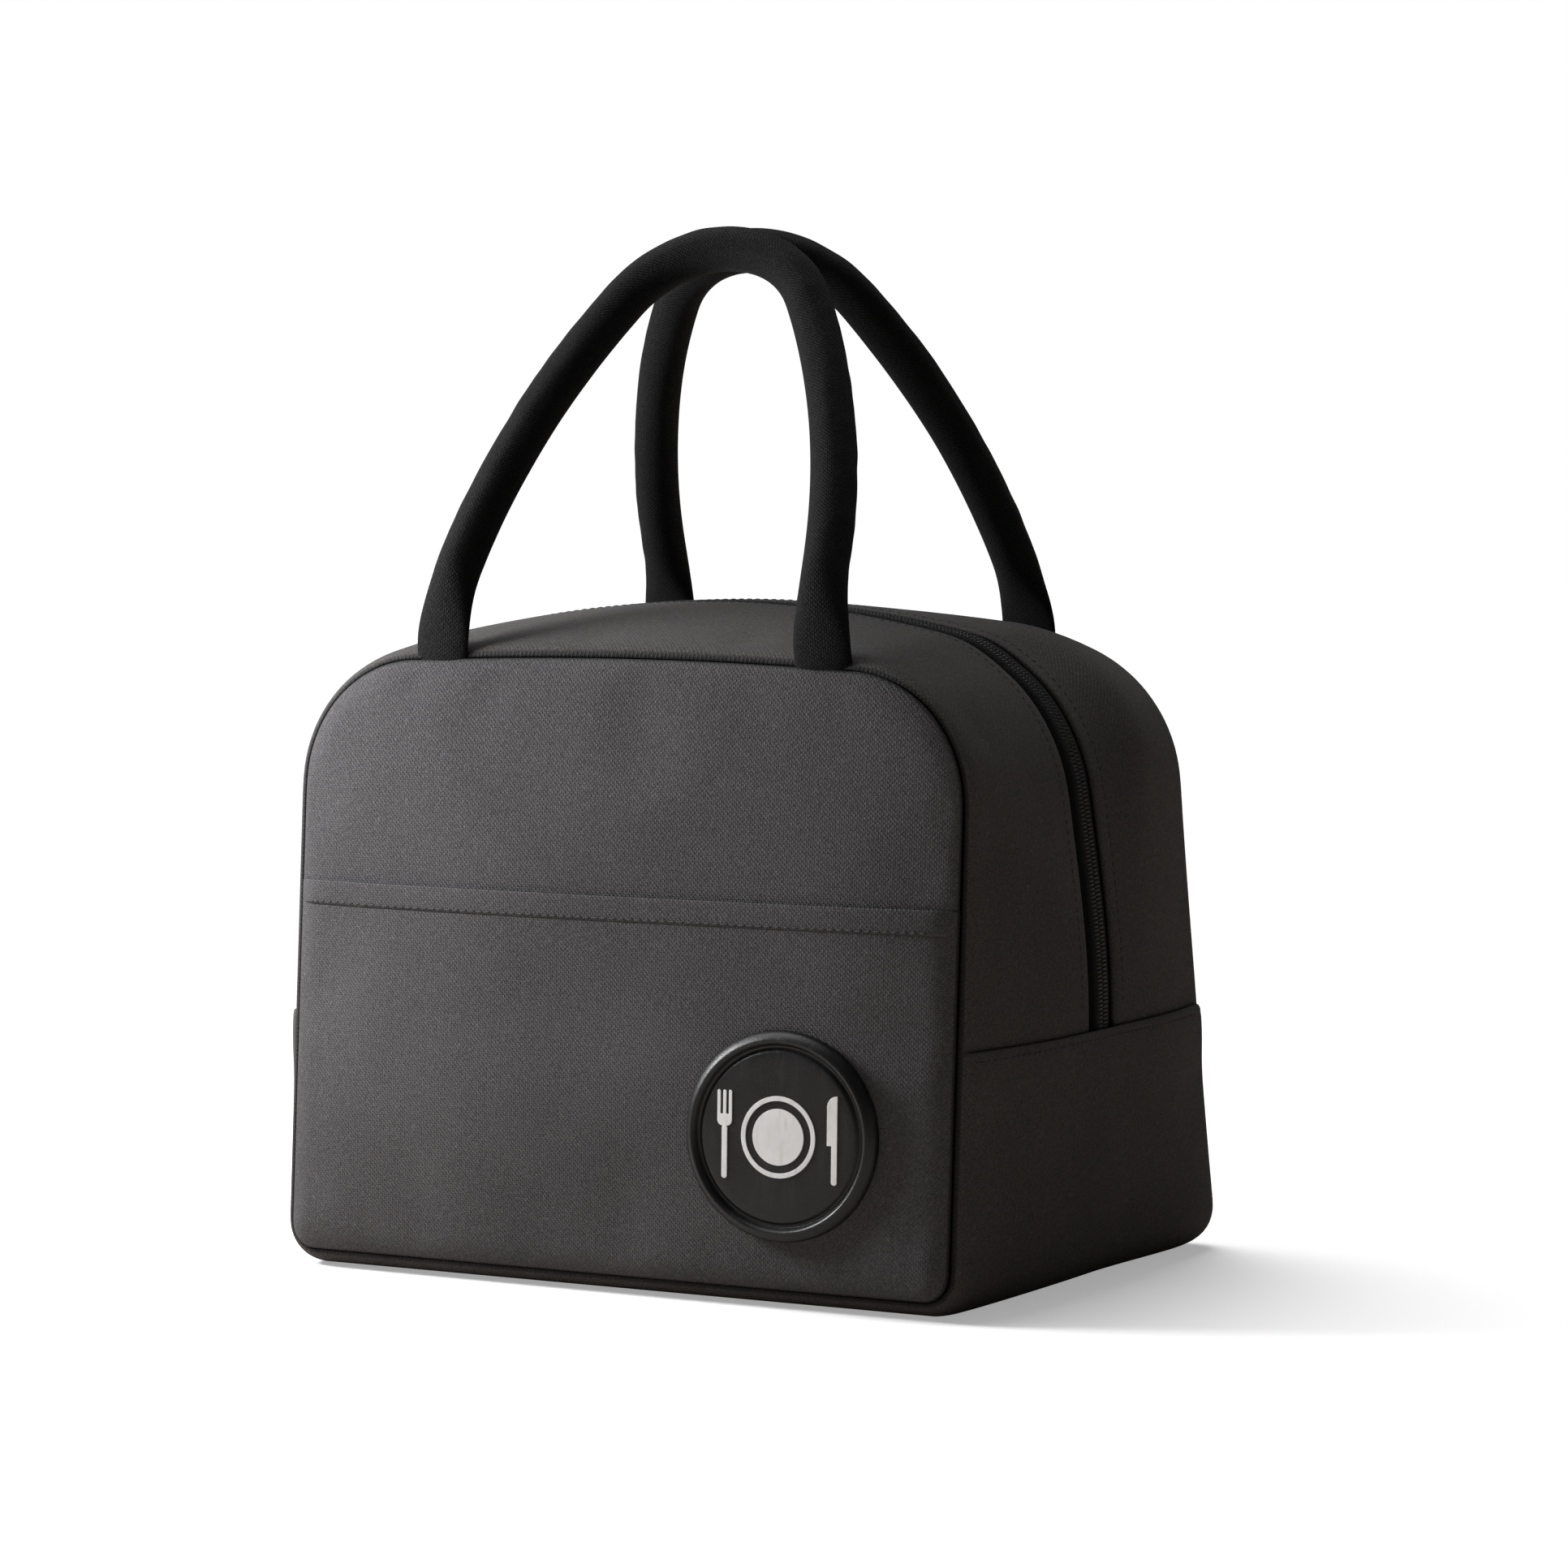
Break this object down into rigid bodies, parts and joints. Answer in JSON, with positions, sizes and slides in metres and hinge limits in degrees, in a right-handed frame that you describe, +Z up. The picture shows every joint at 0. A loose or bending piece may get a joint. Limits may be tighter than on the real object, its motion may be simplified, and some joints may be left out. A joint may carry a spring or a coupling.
{
  "type": "lunch bag",
  "caption": "Soft insulated lunch bag with a zipped D-shaped mouth, a front slip pocket with a round rubber badge, and paired padded carry handles.",
  "frame": {"origin": "centre of the base, on the surface that the bag stands on", "axes": "+Z up; -Y towards the pocket and badge side; +X to the right as seen facing the pocket side"},
  "size_m": [0.2421, 0.1654, 0.3077],
  "materials": {
    "panel_fabric": "matt, finely grained charcoal soft-touch cloth",
    "side_fabric": "matt, finely grained near-black soft-touch cloth",
    "foam": "closed-cell insulating foam, matt",
    "lining": "crinkled aluminised lining film, satin silver",
    "binding": "woven binding tape",
    "badge_rubber": "satin moulded rubber",
    "emblem_ink": "matt white printed inlay",
    "zip_tape": "woven black tape",
    "zip_coil": "nylon coil, dark grey",
    "slider_metal": "black painted zinc",
    "pull_rubber": "moulded soft pull",
    "handle_core": "soft filler cord",
    "handle_fabric": "near-black soft-touch cloth sewn into a tube"
  },
  "bodies": {
    "root": {"base_gusset_outer": "side_fabric", "base_gusset_foam": "foam", "base_gusset_lining": "lining", "front_panel_lower_outer": "panel_fabric", "front_panel_lower_foam": "foam", "front_panel_lower_lining": "lining", "rear_panel_lower_outer": "panel_fabric", "rear_panel_lower_foam": "foam", "rear_panel_lower_lining": "lining", "front_binding_lower": "binding", "rear_binding_lower": "binding", "pocket_lower": "panel_fabric", "badge_disc": "badge_rubber", "badge_emblem": "emblem_ink"},
    "front_mouth": {"front_gusset_outer": "side_fabric", "front_gusset_foam": "foam", "front_gusset_lining": "lining", "front_panel_upper_outer": "panel_fabric", "front_panel_upper_foam": "foam", "front_panel_upper_lining": "lining", "front_binding_upper": "binding", "pocket_upper": "panel_fabric", "pocket_hem": "panel_fabric", "front_zip_tape": "zip_tape", "front_zip_coil": "zip_coil", "front_handle_anchor_left": "handle_fabric", "front_handle_anchor_right": "handle_fabric"},
    "rear_mouth": {"rear_gusset_outer": "side_fabric", "rear_gusset_foam": "foam", "rear_gusset_lining": "lining", "rear_panel_upper_outer": "panel_fabric", "rear_panel_upper_foam": "foam", "rear_panel_upper_lining": "lining", "rear_binding_upper": "binding", "rear_zip_tape": "zip_tape", "rear_zip_coil": "zip_coil", "rear_handle_anchor_left": "handle_fabric", "rear_handle_anchor_right": "handle_fabric"},
    "front_handle": {"front_handle_sleeve": "handle_fabric", "front_handle_core": "handle_core", "front_handle_foot_left": "handle_fabric", "front_handle_foot_right": "handle_fabric"},
    "rear_handle": {"rear_handle_sleeve": "handle_fabric", "rear_handle_core": "handle_core", "rear_handle_foot_left": "handle_fabric", "rear_handle_foot_right": "handle_fabric"},
    "zip_slider": {"slider_body": "slider_metal"},
    "zip_pull": {"pull_loop": "slider_metal", "pull_grip": "pull_rubber"}
  },
  "joints": [
    {"name": "front_mouth_fold", "type": "hinge", "parent": "root", "child": "front_mouth", "pos_m": [0, -0.07663, 0.088], "axis": [1, 0, 0], "range_deg": [0, 22]},
    {"name": "rear_mouth_fold", "type": "hinge", "parent": "root", "child": "rear_mouth", "pos_m": [0, 0.07543, 0.088], "axis": [-1, 0, 0], "range_deg": [0, 22]},
    {"name": "front_handle_swing", "type": "hinge", "parent": "front_mouth", "child": "front_handle", "pos_m": [0, -0.072, 0.1885], "axis": [1, 0, 0], "range_deg": [0, 188]},
    {"name": "rear_handle_swing", "type": "hinge", "parent": "rear_mouth", "child": "rear_handle", "pos_m": [0, 0.072, 0.1885], "axis": [-1, 0, 0], "range_deg": [0, 188]},
    {"name": "zip_slide", "type": "slide", "parent": "root", "child": "zip_slider", "axis": [0, 0, 1], "range_m": [0, 0.042]},
    {"name": "pull_swing", "type": "hinge", "parent": "zip_slider", "child": "zip_pull", "pos_m": [-0.1218, 0, 0.099], "axis": [0, 1, 0], "range_deg": [0, 165]}
  ]
}
